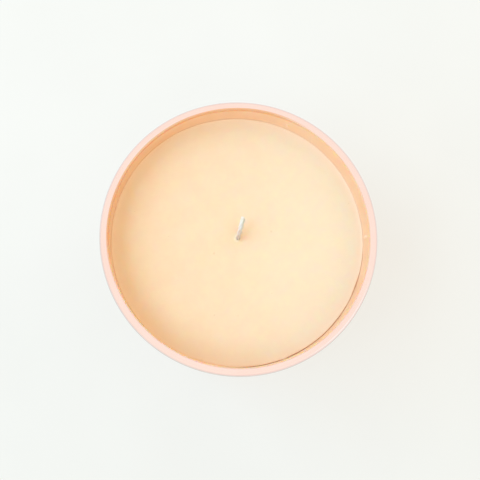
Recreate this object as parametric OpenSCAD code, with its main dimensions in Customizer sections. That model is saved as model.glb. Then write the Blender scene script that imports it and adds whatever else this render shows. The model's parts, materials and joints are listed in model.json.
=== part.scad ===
// An open container candle: wax poured into a seamless drawn tin with a rolled rim,
// and a cored braided wick that stands on a metal sustainer stuck to the base.
// The origin is the centre of the base at the surface the tin stands on, and +Z is up.

/* [Tin] */
// Diameter across the rolled rim
rim_d = 80; // [70:1:90]
// Height of the tin
tin_h = 54; // [48:1:64]
// Thickness of the tinplate
sheet_t = 0.3; // [0.25:0.05:0.35]
// Diameter of the rim's curl
curl_d = 2.6; // [2:0.1:3]
// How far round its own circle the curl is rolled, in degrees
curl_sweep = 270; // [270:5:310]
// Outer radius of the corner between the wall and the base
corner_r = 2.8; // [2:0.1:4]
// Width of the flat ring that the tin stands on
foot_w = 0.8; // [0.6:0.1:2]
// How far the base panel is raised above that ring
base_rise = 1.2; // [1:0.1:1.8]

/* [Wax] */
// Depth from the top of the rim to the wax
headspace = 8.5; // [7:0.5:14]
// Width of the gap where the wax has shrunk from the wall
shrink_w = 0.35; // [0.2:0.05:0.6]
// Depth of that gap below the wax surface
shrink_depth = 12; // [4:1:20]
// Direction at which the gap starts, in degrees from +X
shrink_from = 222; // [200:1:260]
// Direction at which the gap ends
shrink_to = 358; // [320:1:358]
// Direction of the bridge of wax that still crosses the gap
bridge_at = 291; // [270:1:310]
// Angle that the bridge takes up
bridge_span = 2.5; // [1:0.5:6]

/* [Wick] */
// Where the wick stands, along X
wick_x = -0.1; // [-3:0.1:3]
// Where the wick stands, along Y
wick_y = 0.5; // [-3:0.1:3]
// Length of wick above the wax
wick_free = 8.3; // [6:0.1:9]
// Direction in which the wick leans, in degrees from +X
lean_dir = 77; // [0:1:359]
// Lean of the lower half of the free wick from upright
lean_low = 34; // [20:1:40]
// Lean of the upper half, above the kink
lean_high = 56; // [45:1:65]
// Height of the kink along the free wick
kink_at = 3.6; // [2:0.1:4.5]
// Diameter of the cotton core
core_d = 0.4; // [0.4:0.05:0.6]
// Thickness of one yarn of the braid
yarn_t = 0.22; // [0.18:0.01:0.24]
// Width of one yarn of the braid
yarn_w = 0.28; // [0.24:0.01:0.28]
// Length of wick in which a yarn goes once round
braid_pitch = 8; // [8:0.5:10]

/* [Sustainer] */
// Diameter of the metal tab under the wick
tab_d = 20; // [15:1:30]
// Height of the collar crimped round the wick
collar_h = 6; // [3:0.5:9]
// Thickness of the foam in the sticker
foam_t = 0.8; // [0.5:0.1:1.5]
// Thickness of each adhesive layer on the foam
film_t = 0.1; // [0.05:0.01:0.2]

/* [Hidden] */
$fn = 96;

// Tin: the wall rises into the inner side of the curl
curl_r = curl_d / 2;
curl_x = rim_d / 2 - curl_r;
curl_z = tin_h - curl_r;
wall_in = curl_x - curl_r;
wall_out = wall_in + sheet_t;
corner_x = wall_out - corner_r;
foot_x = corner_x - foot_w;
// The step from the foot ring up to the base panel is two bends of this outer radius
bend_r = 2 * sheet_t;
step_x = foot_x - bend_r - sheet_t;
step_z = base_rise + sheet_t - bend_r;
floor_z = base_rise + sheet_t;

// Wax
wax_z = tin_h - headspace;

// Sticker and sustainer, stacked on the base panel
foam_z = floor_z + film_t;
top_film_z = foam_z + foam_t;
tab_z = top_film_z + film_t;
tab_overhang = 0.5;
sticker_d = tab_d - 2 * tab_overhang;
core_gap = 0.01;
crossing_gap = 0.055;
weave = yarn_t / 2 + crossing_gap;
orbit_r = core_d / 2 + core_gap + yarn_t / 2 + weave;
wick_r = orbit_r + weave + yarn_t / 2;
bore_gap = 0.06;
bore_r = wick_r + bore_gap;
collar_r = bore_r + sheet_t;
fillet = 0.6;

// Wick: rings of the sweep, spaced along its centre line from the tab upwards
rings_per_turn = 16;
ring_step = braid_pitch / rings_per_turn;
buried = wax_z - tab_z;
ring_count = floor((buried + wick_free) / ring_step);
bend_length = 1.2;
kink_length = 1;
crossings = 4;
yarns_each_way = 4;
ring_sides = 6;

tin_colour = [0.91, 0.67, 0.58];
wax_colour = [0.98, 0.9, 0.74];
cotton_colour = [0.96, 0.92, 0.84];
steel_colour = [0.75, 0.75, 0.76];
foam_colour = [0.97, 0.97, 0.95];
film_colour = [0.93, 0.9, 0.78];

// A quarter of a bent sheet, in the quadrant that the signs side and rise give
module sheet_bend(outer_r, side, rise) {
    intersection() {
        difference() {
            circle(r = outer_r);
            circle(r = outer_r - sheet_t);
        }
        scale([side, rise]) square(2 * outer_r);
    }
}

// The rim's curl: a ring left open where its raw edge turns back towards the wall
module curl_section() {
    reach = 2 * curl_r;
    open_from = 180;
    open_to = 540 - curl_sweep;
    difference() {
        circle(r = curl_r);
        circle(r = curl_r - sheet_t);
        polygon([
            [0, 0],
            for (a = [open_from, (open_from + open_to) / 2, open_to]) reach * [cos(a), sin(a)]
        ]);
    }
}

module tin_section() {
    translate([curl_x, curl_z]) curl_section();
    translate([wall_in, corner_r]) square([sheet_t, curl_z - corner_r]);
    translate([corner_x, corner_r]) sheet_bend(corner_r, 1, -1);
    translate([foot_x, 0]) square([foot_w, sheet_t]);
    translate([foot_x, bend_r]) sheet_bend(bend_r, -1, -1);
    translate([foot_x - bend_r, bend_r]) square([sheet_t, step_z - bend_r]);
    translate([step_x, step_z]) sheet_bend(bend_r, 1, 1);
    translate([0, base_rise]) square([step_x, sheet_t]);
}

module tin_body() {
    color(tin_colour) rotate_extrude() tin_section();
}

// Half section of everything inside the tin, up to the wax surface
module fill_section() {
    difference() {
        union() {
            translate([0, sheet_t]) square([corner_x, wax_z - sheet_t]);
            translate([0, corner_r]) square([wall_in, wax_z - corner_r]);
            intersection() {
                translate([corner_x, corner_r]) circle(r = corner_r - sheet_t);
                translate([corner_x, 0]) square(corner_r);
            }
        }
        square([step_x, floor_z]);
        translate([step_x, step_z]) circle(r = bend_r);
        square([step_x + bend_r, step_z]);
        difference() {
            square([foot_x, bend_r]);
            translate([foot_x, bend_r]) circle(r = bend_r - sheet_t);
        }
    }
}

// One stretch of the shrink gap, between two directions
module shrink_gap(from, to) {
    rotate([0, 0, from])
        rotate_extrude(angle = to - from)
            translate([wall_in - shrink_w, wax_z - shrink_depth])
                square([2 * shrink_w, 2 * shrink_depth]);
}

module wax_fill() {
    color(wax_colour)
        difference() {
            rotate_extrude() fill_section();
            shrink_gap(shrink_from, bridge_at - bridge_span / 2);
            shrink_gap(bridge_at + bridge_span / 2, shrink_to);
            translate([wick_x, wick_y, 0]) {
                cylinder(d = sticker_d, h = tab_z);
                translate([0, 0, tab_z]) rotate_extrude() tab_envelope();
                cylinder(r = bore_r, h = tin_h);
            }
        }
}

module sticker_layer(thickness, base_z, layer_colour) {
    color(layer_colour) translate([wick_x, wick_y, base_z]) cylinder(d = sticker_d, h = thickness);
}

module sticker_film_bottom() {
    sticker_layer(film_t, floor_z, film_colour);
}

module sticker_foam() {
    sticker_layer(foam_t, foam_z, foam_colour);
}

module sticker_film_top() {
    sticker_layer(film_t, top_film_z, film_colour);
}

// Half section of the sustainer with its bore filled in
module tab_envelope() {
    square([tab_d / 2, sheet_t]);
    square([collar_r, collar_h]);
    polygon([[0, sheet_t], [collar_r + fillet, sheet_t], [collar_r, sheet_t + fillet], [0, sheet_t + fillet]]);
}

module wick_tab() {
    color(steel_colour)
        translate([wick_x, wick_y, tab_z])
            difference() {
                rotate_extrude() tab_envelope();
                translate([0, 0, -sheet_t]) cylinder(r = bore_r, h = collar_h + 2 * sheet_t);
            }
}

function ease(x) = let (c = min(1, max(0, x))) c * c * (3 - 2 * c);

// The wick's lean from upright at a distance along it from the tab
function lean(s) =
    lean_low * ease((s - buried) / bend_length)
    + (lean_high - lean_low) * ease((s - buried - kink_at) / kink_length);

// Centre line in the plane of the lean: how far out and how high at each ring
centre_line = [
    for (
        i = 0, out = 0, up = tab_z;
        i <= ring_count;
        out = out + ring_step * sin(lean((i + 0.5) * ring_step)),
        up = up + ring_step * cos(lean((i + 0.5) * ring_step)),
        i = i + 1
    )
    [out, up]
];

// A point at radius r and angle a about the centre line, in the plane square to it at ring i
function around(i, r, a) =
    let (tilt = lean(i * ring_step))
    [
        centre_line[i][0] + r * cos(a) * cos(tilt),
        r * sin(a),
        centre_line[i][1] - r * cos(a) * sin(tilt)
    ];

// A closed solid through rings of points that each go counterclockwise seen from the far end
module sweep(rings) {
    sides = len(rings[0]);
    last = len(rings) - 1;
    polyhedron(
        points = [for (ring = rings, p = ring) p],
        faces = [
            [for (k = [0:sides - 1]) k],
            [for (k = [sides - 1:-1:0]) last * sides + k],
            for (i = [0:last - 1], k = [0:sides - 1])
                let (a = i * sides + k, b = i * sides + (k + 1) % sides)
                each [[a, a + sides, b + sides], [a, b + sides, b]]
        ]
    );
}

module place_wick() {
    color(cotton_colour) translate([wick_x, wick_y, 0]) rotate([0, 0, lean_dir]) children();
}

module wick_core() {
    place_wick()
        sweep([
            for (i = [0:ring_count])
                [for (k = [0:ring_sides - 1]) around(i, core_d / 2, k * 360 / ring_sides)]
        ]);
}

// Yarns 1 to 4 wind one way and 5 to 8 the other, each over one and under the next
module wick_yarn(number) {
    way = number <= yarns_each_way ? 1 : -1;
    start = (number - 1) * 360 / yarns_each_way;
    place_wick()
        sweep([
            for (i = [0:ring_count])
                let (
                    turn = 360 * i / rings_per_turn,
                    r = orbit_r + way * weave * cos(crossings * turn),
                    a = start + way * turn
                )
                [
                    for (k = [0:ring_sides - 1])
                        let (
                            q = k * 360 / ring_sides,
                            thick = r + yarn_t / 2 * cos(q),
                            wide = yarn_w / 2 * sin(q)
                        )
                        around(i, norm([thick, wide]), a + atan2(wide, thick))
                ]
        ]);
}

tin_body();
wax_fill();
sticker_film_bottom();
sticker_foam();
sticker_film_top();
wick_tab();
wick_core();
wick_yarn(1);  // wick_yarn_1
wick_yarn(2);  // wick_yarn_2
wick_yarn(3);  // wick_yarn_3
wick_yarn(4);  // wick_yarn_4
wick_yarn(5);  // wick_yarn_5
wick_yarn(6);  // wick_yarn_6
wick_yarn(7);  // wick_yarn_7
wick_yarn(8);  // wick_yarn_8
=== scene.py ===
import json
import math
import random

import bpy
from mathutils import Matrix, Vector, noise


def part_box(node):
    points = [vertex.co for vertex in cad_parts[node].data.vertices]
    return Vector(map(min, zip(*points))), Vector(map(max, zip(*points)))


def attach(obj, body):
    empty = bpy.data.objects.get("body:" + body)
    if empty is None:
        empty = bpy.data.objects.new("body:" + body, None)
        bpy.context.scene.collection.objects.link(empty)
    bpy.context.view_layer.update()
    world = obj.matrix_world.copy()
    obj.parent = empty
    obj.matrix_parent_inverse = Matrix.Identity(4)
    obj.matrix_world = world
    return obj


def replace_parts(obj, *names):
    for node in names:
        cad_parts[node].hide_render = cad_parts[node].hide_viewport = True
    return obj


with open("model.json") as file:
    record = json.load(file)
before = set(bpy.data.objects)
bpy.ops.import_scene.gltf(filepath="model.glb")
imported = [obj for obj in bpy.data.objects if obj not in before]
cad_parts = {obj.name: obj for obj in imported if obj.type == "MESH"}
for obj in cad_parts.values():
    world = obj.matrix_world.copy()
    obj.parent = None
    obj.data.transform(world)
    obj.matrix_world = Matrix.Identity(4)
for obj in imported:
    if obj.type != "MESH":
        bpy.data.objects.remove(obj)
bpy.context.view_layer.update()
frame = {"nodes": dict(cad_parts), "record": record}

# Everything below is worked out in millimetres and put into Blender in metres.
MM = 0.001
BODY = "root"

# ---------------------------------------------------------------- sizes from the frame


def box_mm(node):
    low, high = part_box(node)
    return low / MM, high / MM


_, TIN_HIGH = box_mm("tin_body")
WAX_LOW, WAX_HIGH = box_mm("wax_fill")
TAB_LOW, TAB_HIGH = box_mm("wick_tab")
FILM_LOW, FILM_HIGH = box_mm("sticker_film_bottom")
WALL_MOUNT = next(m for m in frame["record"]["mounts"] if m["name"] == "wall")

RIM_R = TIN_HIGH.x
TIN_H = TIN_HIGH.z
WALL_OUT = WALL_MOUNT["dims"]["r_mm"]
WALL_IN = -WAX_LOW.x
SHEET = WALL_OUT - WALL_IN
CURL_R = (RIM_R - WALL_IN) / 2
CURL_Z = TIN_H - CURL_R
WAX_Z = WAX_HIGH.z
FLOOR_Z = FILM_LOW.z
TAB_Z = TAB_LOW.z
COLLAR_TOP = TAB_HIGH.z
WICK_AT = Vector(((TAB_LOW.x + TAB_HIGH.x) / 2, (TAB_LOW.y + TAB_HIGH.y) / 2))
TAB_R = (TAB_HIGH.x - TAB_LOW.x) / 2
STICKER_R = (FILM_HIGH.x - FILM_LOW.x) / 2

# The design's own values that the frame's boxes don't give
CURL_SWEEP = 270
CORNER_R = 2.8
FOOT_W = 0.8
BEND_R = 2 * SHEET
BASE_RISE = FLOOR_Z - SHEET

# ---------------------------------------------------------------- small helpers


def ease(x):
    c = min(1.0, max(0.0, x))
    return c * c * (3 - 2 * c)


def bump(x, half_width):
    """1 at x = 0, falling smoothly to 0 at half_width on each side."""
    return ease(1 - abs(x) / half_width)


def angle_between(a, b):
    """Signed difference a - b between two directions in degrees, from -180 to 180."""
    return (a - b + 180) % 360 - 180


def unit_toward(direction, elevation):
    """Unit vector towards a direction in degrees from +X and an elevation in degrees."""
    a, e = math.radians(direction), math.radians(elevation)
    return Vector((math.cos(a) * math.cos(e), math.sin(a) * math.cos(e), math.sin(e)))


def new_piece(name, vertices_mm, faces, material):
    mesh = bpy.data.meshes.new(name)
    mesh.from_pydata([Vector(v) * MM for v in vertices_mm], [], faces)
    mesh.validate()
    mesh.polygons.foreach_set("use_smooth", [True] * len(mesh.polygons))
    mesh.materials.append(material)
    piece = bpy.data.objects.new(name, mesh)
    bpy.context.scene.collection.objects.link(piece)
    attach(piece, BODY)
    return piece


def loft_faces(loop_count, side_count, closed_along):
    """Quads between loops of side_count points each, the loops following each other."""
    faces = []
    steps = loop_count if closed_along else loop_count - 1
    for i in range(steps):
        a = i * side_count
        b = (i + 1) % loop_count * side_count
        for k in range(side_count):
            n = (k + 1) % side_count
            faces.append((a + k, a + n, b + n, b + k))
    return faces


# ---------------------------------------------------------------- node materials

# The Mix node's sockets for its two colours and for their blend
FIRST, SECOND, BLENDED = 6, 7, 2


class Shader:
    """A material's node tree, with short calls for the nodes that these materials share."""

    def __init__(self, name):
        self.material = bpy.data.materials.new(name)
        self.material.use_nodes = True
        self.tree = self.material.node_tree
        self.surface = self.tree.nodes["Principled BSDF"]
        self.place = self.node("ShaderNodeTexCoord").outputs["Object"]

    def node(self, kind, **settings):
        made = self.tree.nodes.new(kind)
        for key, value in settings.items():
            setattr(made, key, value)
        return made

    def feed(self, socket, value):
        if isinstance(value, bpy.types.NodeSocket):
            self.tree.links.new(value, socket)
        else:
            socket.default_value = value

    def set(self, **values):
        for name, value in values.items():
            self.feed(self.surface.inputs[name.replace("_", " ")], value)

    def math(self, operation, a, b):
        made = self.node("ShaderNodeMath", operation=operation)
        self.feed(made.inputs[0], a)
        self.feed(made.inputs[1], b)
        return made.outputs[0]

    def plus(self, a, b):
        return self.math("ADD", a, b)

    def minus(self, a, b):
        return self.math("SUBTRACT", a, b)

    def times(self, a, b):
        return self.math("MULTIPLY", a, b)

    def vector(self, operation, a, b=(0, 0, 0)):
        made = self.node("ShaderNodeVectorMath", operation=operation)
        self.feed(made.inputs[0], a)
        self.feed(made.inputs[1], b)
        return made.outputs["Value" if operation in ("LENGTH", "DISTANCE") else "Vector"]

    def split(self, vector):
        made = self.node("ShaderNodeSeparateXYZ")
        self.feed(made.inputs[0], vector)
        return made.outputs

    def join(self, x, y, z):
        made = self.node("ShaderNodeCombineXYZ")
        for socket, value in zip(made.inputs, (x, y, z)):
            self.feed(socket, value)
        return made.outputs[0]

    def noise(self, size_mm, detail=3.0, rough=0.5, at=None, distort=0.0):
        made = self.node("ShaderNodeTexNoise")
        self.feed(made.inputs["Vector"], self.place if at is None else at)
        made.inputs["Scale"].default_value = 1 / (size_mm * MM)
        made.inputs["Detail"].default_value = detail
        made.inputs["Roughness"].default_value = rough
        made.inputs["Distortion"].default_value = distort
        return made.outputs["Fac"]

    def cells(self, size_mm, at=None):
        made = self.node("ShaderNodeTexVoronoi")
        self.feed(made.inputs["Vector"], self.place if at is None else at)
        made.inputs["Scale"].default_value = 1 / (size_mm * MM)
        return made.outputs

    def ramp(self, value, low, high, to_low=0.0, to_high=1.0):
        """A smooth step from to_low at low to to_high at high, where low may be the larger."""
        made = self.node("ShaderNodeMapRange", clamp=True, interpolation_type="SMOOTHSTEP")
        for socket, number in zip(made.inputs, (value, low, high, to_low, to_high)):
            self.feed(socket, number)
        return made.outputs[0]

    def mix(self, share, a, b):
        made = self.node("ShaderNodeMix", data_type="RGBA")
        self.feed(made.inputs["Factor"], share)
        self.feed(made.inputs[FIRST], a)
        self.feed(made.inputs[SECOND], b)
        return made.outputs[BLENDED]

    def relief(self, height, depth_mm, strength=1.0, normal=None):
        made = self.node("ShaderNodeBump")
        made.inputs["Strength"].default_value = strength
        made.inputs["Distance"].default_value = depth_mm * MM
        self.feed(made.inputs["Height"], height)
        if normal is not None:
            self.feed(made.inputs["Normal"], normal)
        return made.outputs["Normal"]


def rose_gold_tin():
    """Satin lacquer over tinplate, rose gold outside and yellower inside, a painted dark reflection
    as a grey ring round the rim's widest line: draw lines round the wall, fine scuffs, a film of wax
    above the fill."""
    s = Shader("rose_gold_tin")
    x, y, z = s.split(s.place)
    radius = s.vector("LENGTH", s.join(x, y, 0.0))
    above_wax = s.minus(z, WAX_Z * MM)

    def beyond_wall(start, end):
        """Ramp over the radius, from start to end millimetres outside the wall's inner face."""
        return s.ramp(radius, (WALL_IN + start) * MM, (WALL_IN + end) * MM)

    # Draw lines run round the wall, so the pattern is squeezed along the other two ways
    squeeze = 0.02
    lines_at = s.join(s.times(x, squeeze), s.times(y, squeeze), s.plus(radius, z))
    lines = s.noise(0.16, detail=4, rough=0.65, at=lines_at)
    cloud = s.noise(3.5, detail=4, rough=0.6)
    scuff_at = s.vector("MULTIPLY", s.place, (1.0, 0.12, 0.35))
    scuffs = s.ramp(s.noise(0.22, detail=2, at=scuff_at, distort=0.4), 0.66, 0.74)
    # Lacquer: rose outside, gold from the curl's inner side down
    patchy = s.ramp(s.noise(14, detail=2), 0.3, 0.7)
    rose = s.mix(patchy, (0.96, 0.738, 0.715, 1), (0.97, 0.762, 0.742, 1))
    gold = s.mix(patchy, (0.985, 0.765, 0.61, 1), (0.99, 0.79, 0.64, 1))
    inner = beyond_wall(0.5, 0.15)
    metal = s.mix(inner, rose, gold)
    # Painted reflection: darker on the curl's inner side towards -X +Y, painted in place of a dark
    # reflection
    painted_dark_lip = s.times(beyond_wall(0.7, 0.5), s.ramp(z, (CURL_Z - 0.3) * MM, (CURL_Z + 0.2) * MM))
    toward_painted_dark_lip = s.plus(s.times(x, -0.64), s.times(y, 0.77))
    painted_dark_lip = s.times(painted_dark_lip, s.ramp(toward_painted_dark_lip, 8 * MM, 26 * MM))
    metal = s.mix(painted_dark_lip, metal, (0.88, 0.53, 0.345, 1))
    # Painted dark reflection: a grey ring round the rim's widest line, uneven along it, in place of
    # the curl's reflection of the shaded floor
    painted_reflection_ring = s.ramp(radius, (RIM_R - 0.32) * MM, (RIM_R - 0.1) * MM)
    painted_reflection_ring = s.times(painted_reflection_ring, s.ramp(s.noise(6, detail=3), 0.3, 0.6, 0.6, 1.0))
    metal = s.mix(painted_reflection_ring, metal, (0.72, 0.69, 0.65, 1))
    # Wax: a ragged film just above the fill. Painted shade, orange like light bounced off the wax, on
    # the metal in the shrink gap
    inside = beyond_wall(0.12, 0.06)
    ragged = s.times(s.noise(1.6, detail=3), 1.3 * MM)
    film = s.ramp(s.minus(above_wax, ragged), 0.5 * MM, -0.2 * MM)
    film = s.times(s.times(film, inside), 0.45)
    metal = s.mix(film, metal, (0.97, 0.76, 0.56, 1))
    gap_painted_shade = s.times(s.ramp(above_wax, 0.12 * MM, -0.05 * MM), inside)
    rough = s.plus(s.times(inner, 0.14), 0.1)
    for pattern, share in ((cloud, 0.08), (lines, 0.05), (scuffs, 0.12), (film, 0.3)):
        rough = s.plus(rough, s.times(pattern, share))
    normal = s.relief(lines, 0.012, 0.5)
    normal = s.relief(s.noise(9, detail=1), 0.05, 0.4, normal)
    normal = s.relief(scuffs, -0.01, 0.4, normal)
    s.set(
        Base_Color=s.mix(gap_painted_shade, metal, (0.95, 0.43, 0.14, 1)),
        Metallic=s.minus(1.0, s.times(film, 0.5)),
        Roughness=rough,
        Normal=normal,
    )
    return s.material


def cream_wax():
    """Soy wax blend: translucent cream, faint mottling, pinholes and specks, a soft sheen."""
    s = Shader("cream_wax")
    x, y, z = s.split(s.place)
    flat = s.join(x, y, 0.0)
    from_wall = s.minus(WALL_IN * MM, s.vector("LENGTH", flat))
    from_wick = s.vector("DISTANCE", flat, (WICK_AT.x * MM, WICK_AT.y * MM, 0.0))
    mottle = s.noise(7, detail=5, rough=0.6, at=flat)
    grain = s.noise(0.9, detail=4, rough=0.65)
    cream = s.mix(s.ramp(mottle, 0.3, 0.72), (0.94, 0.618, 0.365, 1), (0.95, 0.641, 0.388, 1))
    # Painted light: a little lighter towards +X, the side that the light from -X reaches past the
    # wall, except right next to the wall
    painted_light_plus_x = s.times(s.ramp(x, -12 * MM, 38 * MM), s.ramp(from_wall, 0.8 * MM, 3.4 * MM))
    cream = s.mix(painted_light_plus_x, cream, (0.945, 0.674, 0.428, 1))
    # Duller round the wick, with an uneven edge
    uneven = s.times(s.noise(4, detail=3, at=flat), 3.0 * MM)
    halo = s.ramp(s.plus(from_wick, uneven), 8.5 * MM, 2.0 * MM)
    cream = s.mix(s.times(halo, 0.45), cream, (0.85, 0.58, 0.32, 1))
    # Pinholes: a few of the cells of a fine pattern hold a small dark spot
    spots = s.cells(3.4, at=flat)
    chance, breadth, _ = s.split(spots["Color"])
    pinhole = s.ramp(s.minus(spots["Distance"], s.times(breadth, 0.09)), 0.05, 0.0)
    pinhole = s.times(pinhole, s.ramp(chance, 0.8, 0.84))
    pinhole = s.times(pinhole, s.ramp(z, (WAX_Z - 1.2) * MM, (WAX_Z - 0.6) * MM))
    cream = s.mix(s.times(pinhole, 0.13), cream, (0.62, 0.4, 0.2, 1))
    # Painted shade: orange, like light bounced off the metal, on the wax's side that faces the shrink
    # gap
    under = s.ramp(z, (WAX_Z - 0.08) * MM, (WAX_Z - 0.3) * MM)
    gap_side_painted_shade = s.times(under, s.ramp(from_wall, 0.6 * MM, 0.3 * MM))
    cream = s.mix(s.times(gap_side_painted_shade, 0.9), cream, (0.93, 0.45, 0.13, 1))
    normal = s.relief(s.noise(2.6, detail=3), 0.05, 0.35)
    normal = s.relief(grain, 0.02, 0.35, normal)
    normal = s.relief(pinhole, -0.1, 0.7, normal)
    # Scattering fades out next to the wall and the wick, where it would give a grey edge
    deep_share = s.times(s.ramp(from_wall, 0.3 * MM, 4.0 * MM), s.ramp(from_wick, 0.8 * MM, 1.7 * MM))
    s.set(
        Base_Color=cream,
        Roughness=s.plus(s.plus(0.42, s.times(grain, 0.16)), s.times(pinhole, 0.2)),
        Normal=normal,
        Subsurface_Weight=deep_share,
    )
    s.surface.inputs["Subsurface Radius"].default_value = (1.0, 0.45, 0.2)
    s.surface.inputs["Subsurface Scale"].default_value = 1.6 * MM
    s.surface.inputs["IOR"].default_value = 1.44
    s.surface.inputs["Specular IOR Level"].default_value = 0.35
    return s.material


def waxed_cotton(name, grain_mm):
    """Cotton yarn primed with wax, darker where it is soaked below the kink, with painted shade down
    one side.
    """
    s = Shader(name)
    x, y, z = s.split(s.place)
    wet = s.ramp(z, (WAX_Z + 4.3) * MM, (WAX_Z + 3.6) * MM)
    fibre = s.noise(grain_mm, detail=3, rough=0.7, at=s.join(x, y, s.times(z, 0.25)))
    soaked = s.times(wet, s.ramp(fibre, 0.1, 0.9, 0.65, 1.0))
    cotton = s.mix(soaked, (0.94, 0.84, 0.7, 1), (0.84, 0.6, 0.43, 1))
    cotton = s.mix(s.ramp(fibre, 0.6, 0.35, 0.0, 0.16), cotton, (0.7, 0.5, 0.32, 1))
    # Painted shade on the side that is to the right of the way it leans
    lean = math.radians(LEAN_DIR)
    along_x = s.times(s.minus(x, WICK_AT.x * MM), math.sin(lean))
    along_y = s.times(s.minus(y, WICK_AT.y * MM), math.cos(lean))
    right_side = s.ramp(s.minus(along_x, along_y), -0.03 * MM, 0.28 * MM)
    painted_side_shade = s.times(right_side, s.minus(0.6, s.times(wet, 0.3)))
    cotton = s.mix(painted_side_shade, cotton, (0.52, 0.45, 0.34, 1))
    s.set(
        Base_Color=cotton,
        Roughness=s.ramp(fibre, 0.3, 0.7, 0.45, 0.7),
        Normal=s.relief(fibre, 0.03, 0.6),
    )
    s.surface.inputs["Subsurface Weight"].default_value = 0.3
    s.surface.inputs["Subsurface Radius"].default_value = (1.0, 0.6, 0.4)
    s.surface.inputs["Subsurface Scale"].default_value = 0.4 * MM
    return s.material


def tab_steel():
    """Bright tinplate of the sustainer, with a rolled grain and small dints."""
    s = Shader("tab_tinplate")
    grain_at = s.vector("MULTIPLY", s.place, (1.0, 0.04, 1.0))
    grain = s.noise(0.12, detail=3, at=grain_at)
    dints = s.noise(1.5, detail=2)
    s.set(
        Base_Color=s.mix(grain, (0.6, 0.6, 0.61, 1), (0.78, 0.78, 0.79, 1)),
        Metallic=1.0,
        Roughness=s.ramp(dints, 0.3, 0.7, 0.24, 0.42),
        Normal=s.relief(dints, 0.04, 0.5, s.relief(grain, 0.01, 0.5)),
    )
    return s.material


def sticker_foam():
    """Closed-cell white foam."""
    s = Shader("sticker_foam")
    cell = s.cells(0.25)["Distance"]
    s.set(
        Base_Color=s.mix(s.ramp(cell, 0.0, 0.8), (0.78, 0.78, 0.75, 1), (0.92, 0.92, 0.9, 1)),
        Roughness=0.9,
        Normal=s.relief(cell, 0.08, 0.8),
    )
    return s.material


def sticker_film():
    """A layer of clear, slightly yellow adhesive with trapped air."""
    s = Shader("sticker_adhesive")
    bubble = s.ramp(s.cells(0.9)["Distance"], 0.12, 0.28)
    s.set(
        Base_Color=s.mix(bubble, (0.9, 0.88, 0.78, 1), (0.82, 0.76, 0.56, 1)),
        Roughness=s.ramp(s.noise(2, detail=2), 0.3, 0.7, 0.12, 0.3),
        Normal=s.relief(bubble, 0.03, 0.5),
    )
    return s.material


def studio_floor():
    """A pale table lit from below as well, so that shadows on it stay faint."""
    s = Shader("studio_floor")
    tone = s.ramp(s.noise(60, detail=3), 0.3, 0.7)
    # Painted light: the glow grows stronger away from the camera, towards +Y
    away = s.ramp(s.split(s.place)[1], -90 * MM, 90 * MM, 0.975, 1.03)
    glow = s.mix(tone, (0.932, 0.936, 0.927, 1), (0.947, 0.951, 0.942, 1))
    s.set(
        Base_Color=s.mix(tone, (0.225, 0.198, 0.148, 1), (0.23, 0.203, 0.152, 1)),
        Roughness=0.9,
        Normal=s.relief(s.noise(0.6, detail=2), 0.03, 0.3),
        Emission_Color=glow,
        Emission_Strength=s.times(away, 0.7),
    )
    s.surface.inputs["Specular IOR Level"].default_value = 0.0
    return s.material


# ---------------------------------------------------------------- the tin


def tin_outline():
    """Closed half section of the tin's sheet: its middle line drawn as a walk of straights
    and bends from the axis to the curl's raw edge, then offset to both faces."""
    half = SHEET / 2
    step_x = WALL_OUT - CORNER_R - FOOT_W - BEND_R - SHEET
    step_drop = BASE_RISE + SHEET - 2 * BEND_R
    walk = [
        ("ahead", step_x, 10),
        ("turn", -90, BEND_R - half, 8),
        ("ahead", step_drop, 1),
        ("turn", 90, BEND_R - half, 8),
        ("ahead", FOOT_W, 2),
        ("turn", 90, CORNER_R - half, 14),
        ("ahead", CURL_Z - CORNER_R, 16),
        ("turn", -CURL_SWEEP, CURL_R - half, 44),
    ]
    r, z, heading = 0.0, BASE_RISE + half, 0.0
    middle = [(r, z, heading)]
    for move in walk:
        steps = move[-1]
        for _ in range(steps):
            if move[0] == "ahead":
                r += move[1] / steps * math.cos(heading)
                z += move[1] / steps * math.sin(heading)
            else:
                turn = math.radians(move[1] / steps)
                chord = 2 * move[2] * math.sin(abs(turn) / 2)
                heading += turn / 2
                r += chord * math.cos(heading)
                z += chord * math.sin(heading)
                heading += turn / 2
            middle.append((r, z, heading))
    outer = [(r + half * math.sin(h), z - half * math.cos(h)) for r, z, h in middle]
    inner = [(r - half * math.sin(h), z + half * math.cos(h)) for r, z, h in middle]
    return outer + inner[::-1]


def make_tin(material):
    sides = 288
    on_axis = 1e-6
    outline = tin_outline()
    rings = [p for p in outline if p[0] > on_axis]
    vertices = []
    for r, z in rings:
        for k in range(sides):
            a = 2 * math.pi * k / sides
            vertices.append((r * math.cos(a), r * math.sin(a), z))
    faces = loft_faces(len(rings), sides, closed_along=False)
    under, over = len(vertices), len(vertices) + 1
    vertices += [(0, 0, outline[0][1]), (0, 0, outline[-1][1])]
    last = (len(rings) - 1) * sides
    for k in range(sides):
        n = (k + 1) % sides
        faces.append((n, k, under))
        faces.append((last + k, last + n, over))
    tin = new_piece("tin_shell", vertices, faces, material)
    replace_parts(tin, "tin_body")


# ---------------------------------------------------------------- the wax

# The shrink gap's start, end and widest place, and the wax bridge across it, in degrees from +X
GAP_FROM, GAP_TO, GAP_PEAK = 222, 358, 303
BRIDGE_AT, BRIDGE_HALF = 291, 1.6
GAP_W = 0.15
GAP_DEPTH = 1.5
SIDE_DEPTHS = (0.3, 0.6, 0.9, 1.2, 1.4, GAP_DEPTH, 3, 6, 12, 20, 30)
# Clearance that keeps the wax's faces off the tin, the tab and the sticker
SKIN = 0.02
WICK_R = 0.76
# The wax reaches this far inside the wick's radius, so that no slit shows round the wick
WICK_OVERLAP = 0.15
# The tab's collar stands off the wick by this
BORE_GAP = 0.06


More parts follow.
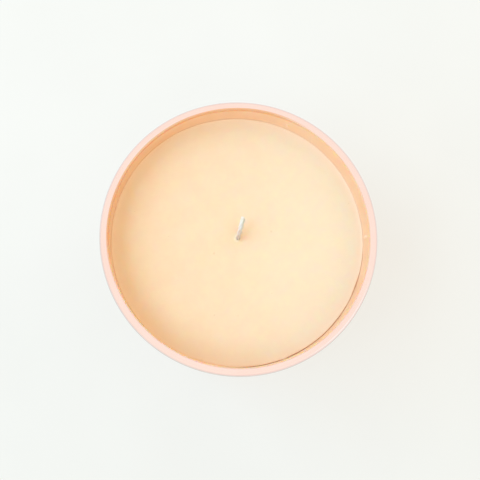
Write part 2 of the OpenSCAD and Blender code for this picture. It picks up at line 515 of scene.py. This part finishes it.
def gap_width(direction, depth):
    """Width of the shrink gap at a direction in degrees, a depth below the surface."""
    before = GAP_PEAK - GAP_FROM
    after = GAP_TO - GAP_PEAK
    away = angle_between(direction, GAP_PEAK)
    open_ = bump(away, after if away > 0 else before) ** 0.45
    ragged = 0.75 + 0.5 * noise.noise(Vector((direction * 0.11, 3.7, 0)))
    joined = bump(angle_between(direction, BRIDGE_AT), BRIDGE_HALF)
    narrowing = max(0.0, 1 - depth / GAP_DEPTH) ** 0.5
    return GAP_W * open_ * ragged * (1 - joined) * narrowing


def wax_surface_height(x, y, from_wick, from_wall, gap):
    """Height of the wax's top above its level: slow waves, a sink round the wick, a lip where
    it clings to the wick or the wall and a rounded edge where it has come away."""
    slow = 0.09 * noise.noise(Vector((x / 19, y / 19, 1.3)))
    fine = 0.022 * noise.noise(Vector((x / 4.5, y / 4.5, 7.1)))
    sink = -0.16 * math.exp(-((from_wick / 5.5) ** 2))
    cling_wick = 0.35 * math.exp(-max(0.0, from_wick - WICK_R) / 0.3)
    stuck = 1 - ease(gap / 0.08)
    cling_wall = 0.16 * stuck * math.exp(-from_wall / 0.4)
    rounded = -0.1 * (1 - stuck) * math.exp(-((from_wall / 0.28) ** 2))
    return slow + fine + sink + cling_wick + cling_wall + rounded


def wax_profile_below():
    """Half section of the wax's underside, from the wall's foot round to the base."""
    corner_x = WALL_OUT - CORNER_R
    foot_x = corner_x - FOOT_W
    step_x = foot_x - BEND_R - SHEET
    step_z = FLOOR_Z - BEND_R
    points = []

    def arc(x, z, radius, start, turn, steps):
        for k in range(steps + 1):
            a = math.radians(start + turn * k / steps)
            points.append((x + radius * math.cos(a), z + radius * math.sin(a)))

    arc(corner_x, CORNER_R, CORNER_R - SHEET, 0, -90, 8)
    arc(foot_x, BEND_R, SHEET, -90, -90, 4)
    arc(step_x, step_z, BEND_R, 0, 90, 4)
    return points


def make_wax(material):
    sides = 480
    rows = 128
    directions = [360 * k / sides for k in range(sides)]
    units = [Vector((math.cos(math.radians(d)), math.sin(math.radians(d)))) for d in directions]
    bore = WICK_R - WICK_OVERLAP
    loops = []

    def ring_at_wick(radius, z):
        loops.append([(WICK_AT.x + radius * u.x, WICK_AT.y + radius * u.y, z) for u in units])

    def ring_at_axis(radius, z):
        loops.append([(radius * u.x, radius * u.y, z) for u in units])

    # Top: rings that start round the wick and end at the wall, closer together at both ends
    for row in range(rows + 1):
        t = row / rows
        spread = 0.62 * t + 0.38 * (0.5 - 0.5 * math.cos(math.pi * t))
        loop = []
        for d, u in zip(directions, units):
            gap = gap_width(d, 0)
            edge = u * (WALL_IN - SKIN - gap)
            start = WICK_AT + u * bore
            p = start.lerp(edge, spread)
            from_wick = (p - WICK_AT).length
            from_wall = WALL_IN - SKIN - gap - p.length
            z = WAX_Z + wax_surface_height(p.x, p.y, from_wick, from_wall, gap)
            loop.append((p.x, p.y, z))
        loops.append(loop)
    # Side: down past the shrink gap to the corner
    for depth in SIDE_DEPTHS:
        z = WAX_Z - depth
        reach = [WALL_IN - SKIN - gap_width(d, depth) for d in directions]
        loops.append([(r * u.x, r * u.y, z) for r, u in zip(reach, units)])
    for r, z in wax_profile_below():
        ring_at_axis(r - SKIN, z + SKIN)
    # Underside: in to the sticker, over the tab and up its collar to the bore
    collar_r = WICK_R + BORE_GAP + SHEET + SKIN
    fillet = 0.6
    clear_of_sticker = STICKER_R + 6
    ring_at_axis(clear_of_sticker, FLOOR_Z + SKIN)
    ring_at_wick(STICKER_R + SKIN, FLOOR_Z + SKIN)
    ring_at_wick(STICKER_R + SKIN, TAB_Z - SKIN)
    ring_at_wick(TAB_R + SKIN, TAB_Z - SKIN)
    ring_at_wick(TAB_R + SKIN, TAB_Z + SHEET + SKIN)
    ring_at_wick(collar_r + fillet, TAB_Z + SHEET + SKIN)
    ring_at_wick(collar_r, TAB_Z + SHEET + fillet)
    ring_at_wick(collar_r, COLLAR_TOP + SKIN)
    ring_at_wick(bore, COLLAR_TOP + SKIN)
    ring_at_wick(bore, (COLLAR_TOP + WAX_Z) / 2)
    vertices = [p for loop in loops for p in loop]
    faces = [f[::-1] for f in loft_faces(len(loops), sides, closed_along=True)]
    wax = new_piece("wax_body", vertices, faces, material)
    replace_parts(wax, "wax_fill")


def make_wax_drop(name, direction, z, width, height, proud, material):
    """A small dried run of wax on the inside of the wall."""
    columns, rows = 14, 18
    off_wall = 0.01
    vertices = []
    for i in range(rows + 1):
        v = 2 * i / rows - 1
        for k in range(columns + 1):
            u = 2 * k / columns - 1
            reach = math.sqrt(max(0.0, 1 - v * v))
            taper = 1 - 0.35 * v
            along = u * reach * taper * width / 2
            thick = proud * math.sqrt(max(0.0, (1 - u * u) * (1 - v * v)))
            a = math.radians(direction) + along / WALL_IN
            r = WALL_IN - off_wall - thick
            vertices.append((r * math.cos(a), r * math.sin(a), z + v * height / 2))
    across = columns + 1
    faces = []
    for i in range(rows):
        for k in range(columns):
            a = i * across + k
            faces.append((a, a + across, a + across + 1, a + 1))
    return new_piece(name, vertices, faces, material)


# ---------------------------------------------------------------- the wick

# Direction it leans in, and its lean off upright below and above the kink, in degrees
LEAN_DIR = 77
LEAN_LOW, LEAN_HIGH = 34, 56
KINK_AT, KINK_LENGTH, BEND_LENGTH = 3.6, 1.0, 1.2
WICK_FREE = 8.3
CORE_R = 0.2
YARN_T, YARN_W = 0.22, 0.28
YARNS_EACH_WAY = 4
# The yarns run round the core at this radius, passing over and under by the weave
ORBIT_R, WEAVE = 0.485, 0.165
BRAID_PITCH = 8
CROSSINGS = 4
PLIES, PLY_TWIST, PLY_RELIEF = 3, 5.0, 0.12
FRAY_LENGTH, FRAY_THINNING = 1.2, 0.35
RING_STEP = 0.16
CORE_SIDES, YARN_SIDES = 8, 10


def wick_frames():
    """Position, normal and binormal along the wick's centre line, from the tab to the tip."""
    buried = WAX_Z - TAB_Z
    out_dir = Vector((math.cos(math.radians(LEAN_DIR)), math.sin(math.radians(LEAN_DIR)), 0))
    side_dir = Vector((-out_dir.y, out_dir.x, 0))
    position = Vector((WICK_AT.x, WICK_AT.y, TAB_Z))
    frames = []
    length = 0.0
    while length <= buried + WICK_FREE:
        lean = LEAN_LOW * ease((length - buried) / BEND_LENGTH)
        lean += (LEAN_HIGH - LEAN_LOW) * ease((length - buried - KINK_AT) / KINK_LENGTH)
        a = math.radians(lean)
        tangent = out_dir * math.sin(a) + Vector((0, 0, math.cos(a)))
        normal = out_dir * math.cos(a) - Vector((0, 0, math.sin(a)))
        frames.append((position.copy(), normal, side_dir, length, length - buried))
        position += tangent * RING_STEP
        length += RING_STEP
    return frames


def tube(name, rings, material):
    sides = len(rings[0])
    vertices = [p for ring in rings for p in ring]
    faces = loft_faces(len(rings), sides, closed_along=False)
    start, end = len(vertices), len(vertices) + 1
    last = (len(rings) - 1) * sides
    vertices.append(sum((Vector(p) for p in rings[0]), Vector()) / sides)
    vertices.append(sum((Vector(p) for p in rings[-1]), Vector()) / sides)
    for k in range(sides):
        n = (k + 1) % sides
        faces.append((n, k, start))
        faces.append((last + k, last + n, end))
    return new_piece(name, vertices, faces, material)


def make_wick(yarn_material, core_material):
    frames = wick_frames()
    core = []
    for p, normal, side, _, _ in frames:
        ring = []
        for k in range(CORE_SIDES):
            q = 2 * math.pi * k / CORE_SIDES
            ring.append(p + (normal * math.cos(q) + side * math.sin(q)) * CORE_R)
        core.append(ring)
    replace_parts(tube("wick_core_cotton", core, core_material), "wick_core")
    for number in range(1, 2 * YARNS_EACH_WAY + 1):
        way = 1 if number <= YARNS_EACH_WAY else -1
        start = (number - 1) * 2 * math.pi / YARNS_EACH_WAY
        chance = random.Random(number)
        splay = chance.uniform(0.02, 0.22)
        cut = chance.uniform(0.0, 0.5)
        rings = []
        for p, normal, side, length, free in frames:
            if free > WICK_FREE - cut:
                break
            turn = 2 * math.pi * length / BRAID_PITCH
            fray = ease((free - WICK_FREE + FRAY_LENGTH) / FRAY_LENGTH)
            r = ORBIT_R + way * WEAVE * math.cos(CROSSINGS * turn) + splay * fray
            a = start + way * turn
            fall = 1 - FRAY_THINNING * fray
            ring = []
            for k in range(YARN_SIDES):
                q = 2 * math.pi * k / YARN_SIDES
                plies = 1 + PLY_RELIEF * math.cos(PLIES * (q - PLY_TWIST * length))
                thick = r + YARN_T / 2 * plies * fall * math.cos(q)
                wide = YARN_W / 2 * plies * fall * math.sin(q)
                b = a + math.atan2(wide, thick)
                away = math.hypot(thick, wide)
                ring.append(p + (normal * math.cos(b) + side * math.sin(b)) * away)
            rings.append(ring)
        yarn = tube(f"wick_yarn_{number}_cotton", rings, yarn_material)
        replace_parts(yarn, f"wick_yarn_{number}")


# ---------------------------------------------------------------- studio, light and camera


def make_floor(material):
    radius = 2.0
    sides = 96
    below_tin = 0.02 * MM
    mesh = bpy.data.meshes.new("studio_floor")
    ring = [
        (radius * math.cos(2 * math.pi * k / sides), radius * math.sin(2 * math.pi * k / sides), 0)
        for k in range(sides)
    ]
    mesh.from_pydata(ring, [], [list(range(sides))])
    mesh.materials.append(material)
    floor = bpy.data.objects.new("studio_floor", mesh)
    floor.location.z = -below_tin
    bpy.context.scene.collection.objects.link(floor)


def soft_box(name, direction, elevation, distance, size, power, colour):
    """A round area light that looks at the wax from a direction in degrees from +X, its
    distance and size in metres and its power in watts. The metal doesn't reflect it, because
    its image would be a hard white line on the curl."""
    light = bpy.data.lights.new(name, "AREA")
    light.shape = "DISK"
    light.size = size
    light.energy = power
    light.color = colour
    lamp = bpy.data.objects.new(name, light)
    away = unit_toward(direction, elevation)
    lamp.location = Vector((0, 0, WAX_Z * MM)) + away * distance
    lamp.rotation_mode = "QUATERNION"
    lamp.rotation_quaternion = (-away).to_track_quat("-Z", "Y")
    lamp.visible_glossy = False
    bpy.context.scene.collection.objects.link(lamp)


def make_world():
    """A pale room: white overhead, greyer towards the horizon, one soft bright patch."""
    world = bpy.data.worlds.new("studio")
    bpy.context.scene.world = world
    world.use_nodes = True
    tree = world.node_tree
    tree.nodes.clear()
    place = tree.nodes.new("ShaderNodeTexCoord")
    split = tree.nodes.new("ShaderNodeSeparateXYZ")
    fade = tree.nodes.new("ShaderNodeMapRange")
    fade.interpolation_type = "SMOOTHSTEP"
    fade.inputs["From Max"].default_value = 0.5
    room = tree.nodes.new("ShaderNodeMix")
    room.data_type = "RGBA"
    room.inputs[FIRST].default_value = (0.9, 0.87, 0.8, 1)
    room.inputs[SECOND].default_value = (1.06, 1.02, 0.915, 1)
    patch_direction, patch_elevation = 331, 24
    toward = tree.nodes.new("ShaderNodeVectorMath")
    toward.operation = "DOT_PRODUCT"
    toward.inputs[1].default_value = unit_toward(patch_direction, patch_elevation)
    # Full within 8 degrees of the patch's middle, and faded out at 26 degrees
    patch = tree.nodes.new("ShaderNodeMapRange")
    patch.interpolation_type = "SMOOTHSTEP"
    patch.inputs["From Min"].default_value = 0.9
    patch.inputs["From Max"].default_value = 0.99
    lit = tree.nodes.new("ShaderNodeMix")
    lit.data_type = "RGBA"
    lit.inputs[SECOND].default_value = (1.06, 1.2, 1.16, 1)
    background = tree.nodes.new("ShaderNodeBackground")
    background.inputs["Strength"].default_value = 1.0
    output = tree.nodes.new("ShaderNodeOutputWorld")
    link = tree.links.new
    link(place.outputs["Generated"], split.inputs[0])
    link(split.outputs["Z"], fade.inputs[0])
    link(fade.outputs[0], room.inputs["Factor"])
    link(place.outputs["Generated"], toward.inputs[0])
    link(toward.outputs["Value"], patch.inputs[0])
    link(patch.outputs[0], lit.inputs["Factor"])
    link(room.outputs[BLENDED], lit.inputs[FIRST])
    link(lit.outputs[BLENDED], background.inputs["Color"])
    link(background.outputs[0], output.inputs["Surface"])


def make_camera():
    """Looks down at the rim from the -Y side and a little from -X, not far off upright.
    Angles in degrees, distances in millimetres."""
    off_upright, round_from_y, distance, lens = 10.63, 20.8, 218.99, 57.3
    target = Vector((-0.023, -1.357, 53.0)) * MM
    t, a = math.radians(off_upright), math.radians(round_from_y)
    back = Vector((-math.sin(a) * math.sin(t), -math.cos(a) * math.sin(t), math.cos(t)))
    right = Vector((0, 1, 0)).cross(back).normalized()
    up = back.cross(right)
    data = bpy.data.cameras.new("camera")
    data.lens = lens
    data.sensor_width = 36
    data.clip_start = 0.01
    data.clip_end = 20
    camera = bpy.data.objects.new("camera", data)
    camera.location = target + back * distance * MM
    camera.rotation_mode = "QUATERNION"
    camera.rotation_quaternion = Matrix((right, up, back)).transposed().to_quaternion()
    bpy.context.scene.collection.objects.link(camera)
    bpy.context.scene.camera = camera


make_camera()
make_world()
soft_box(
    "key", direction=183, elevation=35, distance=1.0, size=1.4, power=17.0, colour=(0.2, 0.61, 1.18)
)
bpy.context.scene.view_settings.view_transform = "Standard"
make_floor(studio_floor())

wax_material = cream_wax()
make_tin(rose_gold_tin())
make_wax(wax_material)
make_wax_drop(
    "wax_drop_right", 1, WAX_Z + 4.2, width=0.9, height=2.6, proud=0.14, material=wax_material
)
make_wax_drop(
    "wax_drop_back", 67, WAX_Z + 3.6, width=1.0, height=1.2, proud=0.15, material=wax_material
)
make_wick(waxed_cotton("yarn_cotton", grain_mm=0.09), waxed_cotton("core_cotton", grain_mm=0.05))


def dress(node, material):
    """Gives a carried-over CAD node its material."""
    piece = frame["nodes"][node]
    piece.data.materials.clear()
    piece.data.materials.append(material)


film_material = sticker_film()
dress("wick_tab", tab_steel())
dress("sticker_foam", sticker_foam())
dress("sticker_film_top", film_material)
dress("sticker_film_bottom", film_material)
